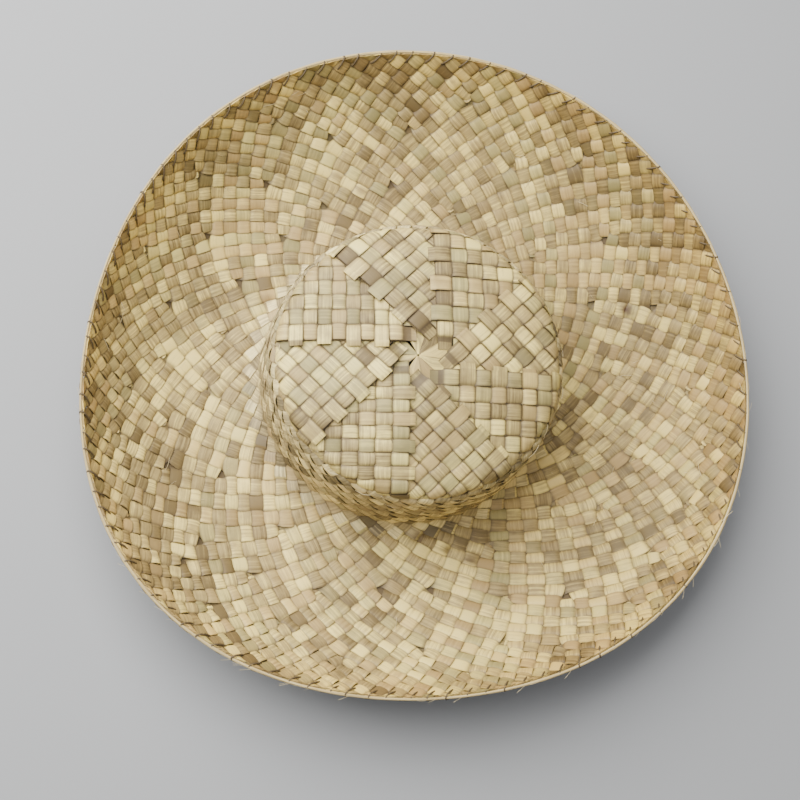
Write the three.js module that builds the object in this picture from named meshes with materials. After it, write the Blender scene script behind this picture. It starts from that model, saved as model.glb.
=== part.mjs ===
// A wide-brimmed farmer hat plaited from flat straw strips.
// It stands crown up on the flat foot of its brim, in millimetres with +Z up.
// The front of the hat looks towards -Y, and the origin is under its middle, on the surface it rests on.
import * as THREE from 'three';

// Driving dimensions
const STRAW = 1.8; // thickness of the plaited wall, two layers of strip
const GAP = 0.3; // clearance between neighbouring pieces

const WALL = {
  radiusAtFloor: 98, // where the crown's side wall would meet the surface under the hat
  lean: THREE.MathUtils.degToRad(4.4), // the wall narrows upwards by this angle
  footRadius: 9, // inside curve from the wall out to the brim
  shoulderHeight: 66, // where the wall starts to turn over to the top
  seamHeight: 58, // where the plaited top takes over from the side wall
};

const DOME = {
  shoulderRadius: 10, // round edge between wall and top
  edgeSlope: THREE.MathUtils.degToRad(14), // slope of the top where the round edge begins
  eyeRadius: 12, // hole in the middle that the star closes
};

const BRIM = {
  restWidth: 11.5, // flat foot ring that the hat stands on
  curlRadius: 115, // the brim sweeps up in one arc
  rimSlope: THREE.MathUtils.degToRad(60), // steepness reached at the rim
};

const HOOP = { tubeRadius: 1.6, sides: 6 };

// The whole hat is slightly oval, wider from left to right by this share
const OVAL = 1.0155;

// The rim is a little out of round: each row is one wave that runs round it.
// Where it leans further out it also sinks, because the brim keeps its length.
const RIM_WAVES = [
  { lobes: 1, outward: 4.8, upward: 0, crestDegrees: -6 },
  { lobes: 2, outward: 3.8, upward: -1.9, crestDegrees: 69 },
  { lobes: 3, outward: 4.2, upward: -2.1, crestDegrees: -26 },
  { lobes: 4, outward: 1.7, upward: -0.8, crestDegrees: -44 },
];

// The top is eight plaited wedges, each lying over the end of the one before it.
// foldDegrees is the direction in which its folded edge runs outwards, and lift is how far that edge stands up.
const WEDGES = [
  { name: 'crown_wedge_1', foldDegrees: 90, lift: 2.3 },
  { name: 'crown_wedge_2', foldDegrees: 45, lift: 2.4 },
  { name: 'crown_wedge_3', foldDegrees: 0, lift: 2.5 },
  { name: 'crown_wedge_4', foldDegrees: -45, lift: 3.2 },
  { name: 'crown_wedge_5', foldDegrees: -90, lift: 3.6 },
  { name: 'crown_wedge_6', foldDegrees: -135, lift: 3.4 },
  { name: 'crown_wedge_7', foldDegrees: 180, lift: 3.2 },
  { name: 'crown_wedge_8', foldDegrees: 135, lift: 2.8 },
];
const WEDGE_DEGREES = 360 / WEDGES.length;
const PINWHEEL = 8.7; // each fold runs past the middle at this distance, like the arms of a pinwheel
const LAP_DEGREES = 5; // how far a wedge's end reaches under its neighbour's fold
const LEVEL_DEGREES = 6; // the fold stays at its full lift this far before it slopes down
const SETTLED_DEGREES = 44; // from here on the wedge lies flat on the crown
const BETWEEN_DEGREES = [16, 26, 36]; // more facets along the slope

const STAR = { points: WEDGES.length, notch: 0.72, proud: 1 }; // notch as a share of its radius

const AROUND_BRIM = 72; // facets round the hat
const AROUND_CROWN = 48;

// Straw colours of the pieces
const COLOURS = {
  brim: 0xcdbb8a,
  wall: 0xb9a472,
  wedge: 0xd6c79c,
  star: 0xc9b98c,
  hoop: 0xd9cb9b,
};

function straw(colour) {
  return new THREE.MeshStandardMaterial({ color: colour, roughness: 0.75, metalness: 0 });
}

function piece(name, geometry, colour) {
  const mesh = new THREE.Mesh(geometry, straw(colour));
  mesh.name = name;
  return mesh;
}

// A point on an arc of the profile, at an angle measured from the outward direction
function onArc(centre, radius, angle) {
  return new THREE.Vector2(centre.x + radius * Math.cos(angle), centre.y + radius * Math.sin(angle));
}

function arcPoints(centre, radius, from, to, steps) {
  const points = [];
  for (let i = 0; i <= steps; i += 1) {
    points.push(onArc(centre, radius, THREE.MathUtils.lerp(from, to, i / steps)));
  }
  return points;
}

// Outer face of the side wall at a height
function wallRadius(height) {
  return WALL.radiusAtFloor - height * Math.tan(WALL.lean);
}

const footCentre = new THREE.Vector2(
  wallRadius(STRAW + WALL.footRadius) + WALL.footRadius / Math.cos(WALL.lean),
  STRAW + WALL.footRadius,
);
const shoulderStart = new THREE.Vector2(wallRadius(WALL.shoulderHeight), WALL.shoulderHeight);
const shoulderCentre = new THREE.Vector2(
  shoulderStart.x - DOME.shoulderRadius * Math.cos(WALL.lean),
  shoulderStart.y - DOME.shoulderRadius * Math.sin(WALL.lean),
);
const domeEdgeAngle = Math.PI / 2 - DOME.edgeSlope;
const domeEdge = onArc(shoulderCentre, DOME.shoulderRadius, domeEdgeAngle);
const domeRadius = domeEdge.x / Math.sin(DOME.edgeSlope);
const domeCentre = new THREE.Vector2(0, domeEdge.y - domeRadius * Math.cos(DOME.edgeSlope));

// Side wall: up its outer face, over the seam edge, down its inner face and out along the foot
function sideWallProfile() {
  const seamRadius = wallRadius(WALL.seamHeight);
  const inward = new THREE.Vector2(-Math.cos(WALL.lean), -Math.sin(WALL.lean)).multiplyScalar(STRAW);
  const outerTop = new THREE.Vector2(seamRadius, WALL.seamHeight);
  const innerTop = outerTop.clone().add(inward);
  const flat = -Math.PI / 2;
  const upright = -Math.PI + WALL.lean;
  const outerFoot = arcPoints(footCentre, WALL.footRadius, flat, upright, 4);
  const innerFoot = arcPoints(footCentre, WALL.footRadius + STRAW, upright, flat, 4);
  return [...outerFoot, outerTop, innerTop, ...innerFoot, outerFoot[0]];
}

// Brim: the flat foot ring and one arc that sweeps up to the rim, as a wall of even thickness
function brimProfile() {
  const inner = footCentre.x + GAP;
  const arcStart = inner + BRIM.restWidth;
  const centre = new THREE.Vector2(arcStart, STRAW / 2 + BRIM.curlRadius);
  const flat = -Math.PI / 2;
  const steps = 8;
  const top = arcPoints(centre, BRIM.curlRadius - STRAW / 2, flat + BRIM.rimSlope, flat, steps);
  const under = arcPoints(centre, BRIM.curlRadius + STRAW / 2, flat, flat + BRIM.rimSlope, steps);
  const innerTop = new THREE.Vector2(inner, STRAW);
  const innerUnder = new THREE.Vector2(inner, 0);
  return { points: [innerUnder, ...under, ...top, innerTop, innerUnder.clone()], centre, arcStart };
}

const brimShape = brimProfile();
const rimEdge = onArc(brimShape.centre, BRIM.curlRadius, BRIM.rimSlope - Math.PI / 2);

// Moves each point of a turned shape out and up with the waves of the rim, fading out towards the foot
function waveTheRim(geometry) {
  const position = geometry.getAttribute('position');
  const point = new THREE.Vector3();
  for (let i = 0; i < position.count; i += 1) {
    point.fromBufferAttribute(position, i);
    const radius = Math.hypot(point.x, point.y);
    const share = Math.max(0, (radius - brimShape.arcStart) / (rimEdge.x - brimShape.arcStart));
    const angle = Math.atan2(point.y, point.x);
    let outward = 0;
    let upward = 0;
    for (const wave of RIM_WAVES) {
      const crest = THREE.MathUtils.degToRad(wave.crestDegrees);
      const height = Math.cos(wave.lobes * (angle - crest)) * share * share;
      outward += wave.outward * height;
      upward += wave.upward * height;
    }
    const stretch = 1 + outward / radius;
    position.setXYZ(i, point.x * stretch, point.y * stretch, point.z + upward);
  }
  return geometry;
}

// A profile turned round the hat's upright axis
function turned(profile, facets) {
  return new THREE.LatheGeometry(profile, facets).rotateX(Math.PI / 2);
}

// A hoop of round cane that lies on the rim's edge
function hoopGeometry() {
  const reach = HOOP.tubeRadius + GAP;
  const radius = rimEdge.x + reach * Math.cos(BRIM.rimSlope);
  const height = rimEdge.y + reach * Math.sin(BRIM.rimSlope);
  return new THREE.TorusGeometry(radius, HOOP.tubeRadius, HOOP.sides, AROUND_BRIM).translate(0, 0, height);
}

// Rows from the eye of the crown out over the shoulder and down to the seam.
// angle is the direction of the surface there, rise is how much of a wedge's lift is left,
// and lap is how much of its end still reaches under its neighbour.
function crownRows() {
  const eye = Math.PI / 2 - DOME.eyeRadius / domeRadius;
  const onDome = (share, lap) => {
    const angle = THREE.MathUtils.lerp(eye, domeEdgeAngle, share);
    return { centre: domeCentre, radius: domeRadius, angle, rise: 1, lap };
  };
  const onShoulder = (share, rise) => {
    const angle = THREE.MathUtils.lerp(domeEdgeAngle, WALL.lean, share);
    return { centre: shoulderCentre, radius: DOME.shoulderRadius, angle, rise, lap: 0 };
  };
  return [
    onDome(0, 1),
    onDome(0.2, 1),
    onDome(0.45, 1),
    onDome(0.7, 1),
    onDome(0.88, 1),
    onDome(1, 0),
    onShoulder(0.3, 0.4),
    onShoulder(0.6, 0),
    onShoulder(1, 0),
  ];
}

// Last row of a wedge: down the wall to the seam
function seamPoint(lift) {
  const height = WALL.seamHeight + GAP;
  return new THREE.Vector2(
    wallRadius(height) + lift * Math.cos(WALL.lean),
    height + lift * Math.sin(WALL.lean),
  );
}

// A wedge of the plaited top as a closed wall: its upper and under face and the four edges between them
function wedgeGeometry(wedge) {
  const rows = crownRows();
  const fold = THREE.MathUtils.degToRad(wedge.foldDegrees);
  const fullLift = wedge.lift;
  const upper = [];
  const under = [];
  for (let row = 0; row <= rows.length; row += 1) {
    const { centre, radius, angle, rise, lap } = rows[row] ?? { rise: 0, lap: 0 };
    const reach = radiusOfRow(rows[row]);
    const slitDegrees = THREE.MathUtils.radToDeg(GAP / reach);
    const foldHere = fold - Math.asin(PINWHEEL / reach);
    const end = WEDGE_DEGREES + LAP_DEGREES * lap - slitDegrees * (1 - lap);
    const turns = [0, LEVEL_DEGREES, ...BETWEEN_DEGREES, SETTLED_DEGREES, end];
    const upperRow = [];
    const underRow = [];
    for (const degrees of turns) {
      const slope = (degrees - LEVEL_DEGREES) / (SETTLED_DEGREES - LEVEL_DEGREES);
      const lift = fullLift * rise * (1 - THREE.MathUtils.clamp(slope, 0, 1));
      const around = foldHere - THREE.MathUtils.degToRad(degrees);
      const place = (offset) => {
        const flat = rows[row] ? onArc(centre, radius + offset, angle) : seamPoint(offset);
        return new THREE.Vector3(flat.x * Math.cos(around), flat.x * Math.sin(around), flat.y);
      };
      upperRow.push(place(lift));
      underRow.push(place(lift - STRAW));
    }
    upper.push(upperRow);
    under.push(underRow);
  }
  return closedWall(upper, under);
}

function radiusOfRow(row) {
  return row ? onArc(row.centre, row.radius, row.angle).x : wallRadius(WALL.seamHeight);
}

// Joins two grids of points, face to face, into one closed body that looks outwards
function closedWall(upper, under) {
  const across = upper[0].length;
  const down = upper.length;
  const grid = upper.flat().concat(under.flat());
  const index = [];
  const at = (row, column, lower) => lower * across * down + row * across + column;
  const quad = (a, b, c, d) => index.push(a, c, b, a, d, c);
  for (let row = 0; row + 1 < down; row += 1) {
    for (let column = 0; column + 1 < across; column += 1) {
      quad(at(row, column, 0), at(row + 1, column, 0), at(row + 1, column + 1, 0), at(row, column + 1, 0));
      quad(at(row, column, 1), at(row, column + 1, 1), at(row + 1, column + 1, 1), at(row + 1, column, 1));
    }
    quad(at(row, 0, 0), at(row, 0, 1), at(row + 1, 0, 1), at(row + 1, 0, 0));
    const last = across - 1;
    quad(at(row, last, 0), at(row + 1, last, 0), at(row + 1, last, 1), at(row, last, 1));
  }
  for (let column = 0; column + 1 < across; column += 1) {
    quad(at(0, column, 0), at(0, column + 1, 0), at(0, column + 1, 1), at(0, column, 1));
    const last = down - 1;
    quad(at(last, column, 0), at(last, column, 1), at(last, column + 1, 1), at(last, column + 1, 0));
  }
  const geometry = new THREE.BufferGeometry().setFromPoints(grid);
  geometry.setIndex(index);
  return geometry;
}

// The strips cross in a small eight-pointed star that fills the eye of the crown
function starGeometry() {
  const points = [];
  const corners = 2 * STAR.points;
  const outer = DOME.eyeRadius - GAP;
  for (let i = 0; i < corners; i += 1) {
    const reach = i % 2 === 0 ? outer : outer * STAR.notch;
    const angle = (i / corners) * 2 * Math.PI;
    points.push(new THREE.Vector2(reach * Math.cos(angle), reach * Math.sin(angle)));
  }
  const shape = new THREE.Shape(points);
  const depth = STRAW + STAR.proud;
  const geometry = new THREE.ExtrudeGeometry(shape, { depth, bevelEnabled: false });
  const apex = domeCentre.y + domeRadius;
  return geometry.translate(0, 0, apex - STRAW);
}

const hat = new THREE.Group();
hat.add(piece('brim', waveTheRim(turned(brimShape.points, AROUND_BRIM)), COLOURS.brim));
hat.add(piece('rim_hoop', waveTheRim(hoopGeometry()), COLOURS.hoop));
hat.add(piece('crown_wall', turned(sideWallProfile(), AROUND_CROWN), COLOURS.wall));
for (const wedge of WEDGES) {
  hat.add(piece(wedge.name, wedgeGeometry(wedge), COLOURS.wedge));
}
hat.add(piece('crown_star', starGeometry(), COLOURS.star));

hat.scale.set(OVAL, 1 / OVAL, 1);

// The waves push the rim slightly off centre, so the hat is set back over its origin
const box = new THREE.Box3().setFromObject(hat);
const middle = box.getCenter(new THREE.Vector3());
hat.position.set(-middle.x, -middle.y, -box.min.z);

export default hat;
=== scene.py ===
from math import cos, pi, radians, sin, tan

import bmesh
import bpy
import numpy as np
from mathutils import Matrix, Vector


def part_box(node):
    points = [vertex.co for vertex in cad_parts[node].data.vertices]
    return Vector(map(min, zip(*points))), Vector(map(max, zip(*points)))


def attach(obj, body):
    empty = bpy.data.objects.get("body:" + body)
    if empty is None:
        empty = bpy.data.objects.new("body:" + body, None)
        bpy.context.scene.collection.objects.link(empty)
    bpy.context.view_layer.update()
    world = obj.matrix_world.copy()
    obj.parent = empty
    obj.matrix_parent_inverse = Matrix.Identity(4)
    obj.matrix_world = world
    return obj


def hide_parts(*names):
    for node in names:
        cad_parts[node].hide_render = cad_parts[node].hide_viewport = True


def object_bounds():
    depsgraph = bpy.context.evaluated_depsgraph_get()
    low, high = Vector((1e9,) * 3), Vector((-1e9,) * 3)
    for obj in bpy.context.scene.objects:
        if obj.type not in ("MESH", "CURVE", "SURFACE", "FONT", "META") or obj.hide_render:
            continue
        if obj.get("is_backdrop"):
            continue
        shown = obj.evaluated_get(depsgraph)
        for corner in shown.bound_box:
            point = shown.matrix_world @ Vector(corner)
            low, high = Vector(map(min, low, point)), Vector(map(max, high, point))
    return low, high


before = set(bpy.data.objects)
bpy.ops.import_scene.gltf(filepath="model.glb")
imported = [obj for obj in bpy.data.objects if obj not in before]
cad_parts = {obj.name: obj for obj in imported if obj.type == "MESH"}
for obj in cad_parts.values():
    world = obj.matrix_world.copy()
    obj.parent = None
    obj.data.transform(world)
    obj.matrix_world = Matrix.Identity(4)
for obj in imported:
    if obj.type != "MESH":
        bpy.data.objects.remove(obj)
cad_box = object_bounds()

# A plaited straw farmer hat. Every strip is its own closed ribbon, woven over and under the others.
# Sizes are in metres. The first ones repeat the form of the CAD pieces that the plait replaces.
MM = 0.001
PLAIT = 1.8 * MM  # thickness of the plaited wall
WALL_AT_FLOOR = 98 * MM
WALL_LEAN = radians(4.4)
FOOT_RADIUS = 9 * MM
SEAM_HEIGHT = 58 * MM
SHOULDER_HEIGHT = 66 * MM
SHOULDER_RADIUS = 10 * MM
TOP_SLOPE = radians(14)  # slope of the crown's top where the shoulder begins
REST_WIDTH = 11.5 * MM
CURL_RADIUS = 115 * MM
RIM_SLOPE = radians(60)
SEAM_GAP = 0.3 * MM
OVAL = 1.0155
PINWHEEL = 8.7 * MM  # each fold of the top passes the middle at this distance

RIM_WAVES = (
    {"lobes": 1, "outward": 4.8 * MM, "upward": 0, "crest": radians(-6)},
    {"lobes": 2, "outward": 3.8 * MM, "upward": -1.9 * MM, "crest": radians(69)},
    {"lobes": 3, "outward": 4.2 * MM, "upward": -2.1 * MM, "crest": radians(-26)},
    {"lobes": 4, "outward": 1.7 * MM, "upward": -0.8 * MM, "crest": radians(-44)},
)

ALONG_PITCH = 10.3 * MM  # from strip to strip of those that run along a wedge's fold
# The crown's wedges, clockwise from the back, in millimetres: how high the fold stands, and the pitch of
# the strips that run across it
WEDGE_SIZES = (
    (2.3, 10.4),
    (2.4, 10.2),
    (2.5, 10.2),
    (3.2, 8.8),
    (3.6, 8.4),
    (3.4, 9.4),
    (3.2, 8.8),
    (2.8, 10.4),
)
WEDGE_ANGLE = 2 * pi / len(WEDGE_SIZES)

# The straw strips
STRIP_THICKNESS = 0.42 * MM
RELIEF = 0.85 * MM  # how far a strip rises and sinks where it crosses the others
BULGE = 0.38 * MM  # a strip is a little higher along its middle than at its edges
WEAVE_LIFT = 0.8 * MM  # how far the weave lies above the middle of the wall, clear of the floor
SHINGLE = 0.3 * MM  # how far a strip's left edge lies above its middle
STRIPS_AT_CROWN = 56  # strips of each family where the brim leaves the crown
LET_IN = 58  # folded strips let in on the brim, each adding one to both families

# Where the weave stays a little open beside a folded strip: millimetres from the axis, direction in degrees
OPEN_SLITS = (
    (180.3, 109.1), (172.8, 125.4), (139.8, 112.6), (168.0, 144.8), (134.2, 131.3),
    (131.6, 150.9), (167.3, 164.2), (142.8, 94.9), (180.3, 91.1), (178.5, 37.6),
    (178.3, 19.4), (145.8, 26.6), (170.8, -157.0), (134.5, -151.6), (172.5, -139.8),
    (190.4, -140.1), (144.1, -98.4), (143.7, -81.6), (182.0, -88.2), (176.5, -54.6),
)

# Out from the crown one family winds clockwise and the other the other way.
# pace is how many strips are crossed in each metre outwards, and width is the straw's own width.
# A folded strip sets out from its seat in the direction away, and seat is its place between two others.
CLOCKWISE = {"turn": 1, "pace": 56.7, "width": 9.35 * MM, "seat": 0.592, "away": radians(-33)}
COUNTER = {"turn": -1, "pace": 97.8, "width": 7.45 * MM, "seat": 0.633, "away": radians(48)}
ROUND_PACE = 88.7  # about how many strips of a family are crossed in each metre round the brim
OPEN_GAP = 3.2 * MM  # how far from its seat a folded strip comes up where the slit stays open
CLOSED_GAP = 0.8 * MM  # and where the weave closes over it

RNG = np.random.default_rng(20)

# The hat's upright axis stands in the middle of the crown's star
star_low, star_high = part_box("crown_star")
AXIS = (star_low + star_high) / 2


def wall_radius(height):
    return WALL_AT_FLOOR - height * tan(WALL_LEAN)


FOOT_HEIGHT = PLAIT + FOOT_RADIUS
FOOT_CENTRE = wall_radius(FOOT_HEIGHT) + FOOT_RADIUS / cos(WALL_LEAN)
BRIM_START = FOOT_CENTRE + SEAM_GAP
CURL_START = BRIM_START + REST_WIDTH
RIM_RADIUS = CURL_START + CURL_RADIUS * sin(RIM_SLOPE)
RIM_HEIGHT = PLAIT / 2 + CURL_RADIUS * (1 - cos(RIM_SLOPE))
SHOULDER_CENTRE = (
    wall_radius(SHOULDER_HEIGHT) - SHOULDER_RADIUS * cos(WALL_LEAN),
    SHOULDER_HEIGHT - SHOULDER_RADIUS * sin(WALL_LEAN),
)
TOP_EDGE = (
    SHOULDER_CENTRE[0] + SHOULDER_RADIUS * sin(TOP_SLOPE),
    SHOULDER_CENTRE[1] + SHOULDER_RADIUS * cos(TOP_SLOPE),
)
DOME_RADIUS = TOP_EDGE[0] / sin(TOP_SLOPE)
DOME_CENTRE = (0, TOP_EDGE[1] - DOME_RADIUS * cos(TOP_SLOPE))


def rim_wave(radius, angle):
    """How far the waves of the rim carry a point outwards and upwards."""
    share = np.clip((radius - CURL_START) / (RIM_RADIUS - CURL_START), 0, None) ** 2
    outward, upward = 0, 0
    for wave in RIM_WAVES:
        height = np.cos(wave["lobes"] * (angle - wave["crest"])) * share
        outward = outward + wave["outward"] * height
        upward = upward + wave["upward"] * height
    return outward, upward


def in_frame(radius, angle, height):
    """Points of the hat in the frame, from their distance to the axis, angle and height."""
    outward, upward = rim_wave(radius, angle)
    reach = radius + outward
    x = AXIS[0] + OVAL * reach * np.cos(angle)
    y = AXIS[1] + reach * np.sin(angle) / OVAL
    return np.stack([x, y, height + upward], axis=-1)


class Meridian:
    """The middle of the plaited wall as one line in distance from the axis and height.

    spread is the distance along it divided by the distance from the axis, summed up. In spread and angle a
    small square stays square, so strips keep their crossing angle when they are laid out in them.
    """

    def __init__(self, stretches):
        points = np.concatenate(stretches)
        steps = np.linalg.norm(np.diff(points, axis=0), axis=1)
        points = points[np.r_[True, steps > 1e-7]]
        self.radius, self.height = points.T
        steps = np.linalg.norm(np.diff(points, axis=0), axis=1)
        self.along = np.r_[0, np.cumsum(steps)]
        middle = (self.radius[1:] + self.radius[:-1]) / 2
        self.spread = np.r_[0, np.cumsum(steps / np.maximum(middle, MM / 10))]
        run = np.gradient(self.radius, self.along)
        climb = np.gradient(self.height, self.along)
        size = np.hypot(run, climb)
        self.face = np.stack([-climb / size, run / size], axis=-1)

    def place(self, by, at, angle, lift):
        """Points at a distance along the line, or at a spread, and lifted off the wall's middle."""
        radius = np.interp(at, by, self.radius) + lift * np.interp(at, by, self.face[:, 0])
        height = np.interp(at, by, self.height) + lift * np.interp(at, by, self.face[:, 1])
        return in_frame(radius, angle, height)


def arc(centre, radius, start, end, count=60):
    angle = np.linspace(start, end, count)
    return np.stack([centre[0] + radius * np.cos(angle), centre[1] + radius * np.sin(angle)], axis=-1)


def wall_middle(height):
    return (wall_radius(height) - PLAIT / 2 * cos(WALL_LEAN), height - PLAIT / 2 * sin(WALL_LEAN))


EMERGE_SLOPE = radians(58)  # where on the shoulder the side's strips come out from under the top's
SIDE = Meridian(
    [
        arc(SHOULDER_CENTRE, SHOULDER_RADIUS - PLAIT / 2, EMERGE_SLOPE, WALL_LEAN, 20),
        np.linspace(wall_middle(SHOULDER_HEIGHT), wall_middle(FOOT_HEIGHT), 40),
        arc((FOOT_CENTRE, FOOT_HEIGHT), FOOT_RADIUS + PLAIT / 2, WALL_LEAN - pi, -pi / 2),
        np.linspace((FOOT_CENTRE, PLAIT / 2), (CURL_START, PLAIT / 2), 40),
        arc((CURL_START, PLAIT / 2 + CURL_RADIUS), CURL_RADIUS, -pi / 2, RIM_SLOPE - pi / 2 + 0.075, 160),
    ]
)
TOP = Meridian(
    [
        arc(DOME_CENTRE, DOME_RADIUS - PLAIT / 2, pi / 2, pi / 2 - TOP_SLOPE, 80),
        arc(SHOULDER_CENTRE, SHOULDER_RADIUS - PLAIT / 2, pi / 2 - TOP_SLOPE, WALL_LEAN, 40),
        np.linspace(wall_middle(SHOULDER_HEIGHT), wall_middle(SEAM_HEIGHT), 40),
    ]
)
BRIM_SPREAD = np.interp(BRIM_START, SIDE.radius[60:], SIDE.spread[60:])
RIM_SPREAD = np.interp(RIM_RADIUS + 0.9 * MM, SIDE.radius[60:], SIDE.spread[60:])
PAST_RIM = 0.026  # how far beyond the rim, in spread, strips are laid before they are trimmed along it


def side_radius(spread):
    return np.interp(spread, SIDE.spread, SIDE.radius)


def on_side(points, lift):
    """Points of the side or the brim. Whatever lies past the rim is trimmed to it."""
    return SIDE.place(SIDE.spread, np.minimum(points[..., 0], RIM_SPREAD), points[..., 1], lift)


def tube_faces(first, rings, corners, closed=False):
    """The faces of a tube, whose rings of corners follow one another from the point with number first."""
    faces = []
    for k in range(rings if closed else rings - 1):
        here, there = first + k * corners, first + (k + 1) % rings * corners
        for i in range(corners):
            j = (i + 1) % corners
            faces.append((here + i, here + j, there + j, there + i))
    return faces


class Ribbons:
    """Flat straw strips gathered into one mesh, each a closed ribbon with a UV map across and along it.

    The point attribute straw holds a strip's tone, its tint, the tone of the cell and whether it is on top
    there, which sets how much painted shade it takes. The point attribute margin is 1 along both edges of a
    strip and 0 in its middle; the edges take painted shade.
    """

    # Each corner of a strip's section: its share of the half width, to the left, and whether it is on top
    SECTION = ((1, True), (0.5, True), (-0.5, True), (-1, True), (-1, False), (1, False))

    def __init__(self):
        self.points, self.uv, self.straw, self.margin = [], [], [], []
        self.faces = []
        self.count = 0

    def add(self, place, centre, to_left, half, lift, tilt, along, straw):
        """Lays one strip. centre and to_left, for each metre, are in the surface's own coordinates."""
        stations = len(centre)
        half = np.broadcast_to(half, stations)
        rows, uv = [], []
        for share, top in self.SECTION:
            across = share * half
            height = lift + tilt * share + STRIP_THICKNESS * (0.5 if top else -0.5)
            height = height + BULGE * (1 - share * share)
            rows.append(place(centre + to_left * across[:, None], height))
            uv.append(np.stack([across, along], axis=-1))
        corners = len(rows)
        self.points.append(np.stack(rows, axis=1).reshape(-1, 3))
        self.uv.append(np.stack(uv, axis=1).reshape(-1, 2))
        self.straw.append(np.repeat(straw, corners, axis=0))
        self.margin.append(np.tile([abs(share) for share, top in self.SECTION], stations))
        first = self.count
        last = first + (stations - 1) * corners
        self.faces += tube_faces(first, stations, corners)
        self.faces.append(tuple(range(first + corners - 1, first - 1, -1)))
        self.faces.append(tuple(range(last, last + corners)))
        self.count += stations * corners

    def piece(self, name, finish, slot, *nodes):
        """Makes the mesh object, which stands for the CAD nodes."""
        mesh = bpy.data.meshes.new(name)
        mesh.from_pydata(np.concatenate(self.points).tolist(), [], self.faces)
        corner_point = np.zeros(len(mesh.loops), np.int32)
        mesh.loops.foreach_get("vertex_index", corner_point)
        layer = mesh.uv_layers.new(name="strip")
        layer.data.foreach_set("uv", np.concatenate(self.uv)[corner_point].astype(np.float32).ravel())
        attribute = mesh.attributes.new("straw", "FLOAT_COLOR", "POINT")
        attribute.data.foreach_set("color", np.concatenate(self.straw).astype(np.float32).ravel())
        attribute = mesh.attributes.new("margin", "FLOAT", "POINT")
        attribute.data.foreach_set("value", np.concatenate(self.margin).astype(np.float32))
        mesh.polygons.foreach_set("use_smooth", np.ones(len(mesh.polygons), bool))
        mesh.set_sharp_from_angle(angle=radians(50))
        return set_up(mesh, name, finish, slot, *nodes)


def set_up(mesh, name, finish, slot, *nodes):
    """Puts a finished mesh into the scene as a piece of the hat."""
    mesh.materials.clear()
    mesh.materials.append(finish)
    piece = bpy.data.objects.new(name, mesh)
    bpy.context.scene.collection.objects.link(piece)
    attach(piece, "root")
    if nodes:
        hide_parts(*nodes)
    return piece


def boxy(wave):
    """Flattens the tops of a wave between -1 and 1, so that a strip stays up or down for most of a cell."""
    return np.tanh(1.5 * wave) / np.tanh(1.5)


class Plait:
    """The woven field of the side and the brim, laid out in spread and angle.

    A family's count goes up by one from each strip to the next. Where a folded strip is let in, both
    families' counts gain one turn, so their product still tells at every crossing which strip is on top.
    """

    def __init__(self, seats):
        self.seats = seats

    def pulls(self, points):
        return (points[..., 0] + 1j * points[..., 1])[..., None] - self.seats

    def count(self, family, points, leave_out=None):
        """The family's count at some points."""
        pull = self.pulls(points)
        turns = np.angle(np.exp(pull) - 1) / (2 * pi)
        if leave_out is not None:
            turns[..., leave_out] = 0
        outward = np.interp(points[..., 0], SIDE.spread, SIDE.along)
        around = STRIPS_AT_CROWN * points[..., 1] / (2 * pi) + turns.sum(-1)
        return family["turn"] * around + family["pace"] * outward

    def slope(self, family, points):
        """How fast the count grows with spread and with angle."""
        swirl = 1 / (1 - np.exp(-self.pulls(points))) / (2 * pi)
        by_spread = family["turn"] * swirl.imag.sum(-1) + family["pace"] * side_radius(points[..., 0])
        by_angle = family["turn"] * (STRIPS_AT_CROWN / (2 * pi) + swirl.real.sum(-1))
        return np.stack([by_spread, by_angle], axis=-1)

    def outward(self, family, points):
        """The way in which a family's strips run outwards, and how fast the count grows across them."""
        slope = self.slope(family, points)
        steep = np.linalg.norm(slope, axis=1)
        ahead = np.stack([slope[:, 1], -slope[:, 0]], axis=-1) / steep[:, None]
        return ahead * np.sign(ahead[:, :1]), steep

    def over(self, points):
        """1 where the clockwise strip lies on top at a crossing, -1 where the other one does."""
        one = np.sin(pi * self.count(CLOCKWISE, points))
        other = np.sin(pi * self.count(COUNTER, points))
        return one * other

    def settle(self, family, points):
        """Moves points onto the middle line of the strip that they are nearest to."""
        for _ in range(3):
            off = self.count(family, points) % 1 - 0.5
            slope = self.slope(family, points)
            points = points - slope * (off / (slope**2).sum(-1))[..., None]
        return points

    def starts(self, family):
        """Where the strips of a family start at the top of the side, one after another round it."""
        starts = []
        point = np.array([0.0, 0.0])
        for _ in range(STRIPS_AT_CROWN):
            for _ in range(4):
                off = self.count(family, point) % 1 - 0.5
                point = point - [0, off / self.slope(family, point)[1]]
            starts.append(point)
            point = point + [0, 1 / abs(self.slope(family, point)[1])]
        return np.stack(starts)

    def follow(self, family, points, step=1.1 * MM):
        """Follows strips outwards from their first points until they are past the rim."""
        rim = RIM_SPREAD + PAST_RIM
        path = [points]
        while (points[:, 0] < rim).any():
            ahead, _ = self.outward(family, points)
            points = self.settle(family, points + ahead * (step / side_radius(points[:, 0]))[:, None])
            path.append(points)
        return np.stack(path)


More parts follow.
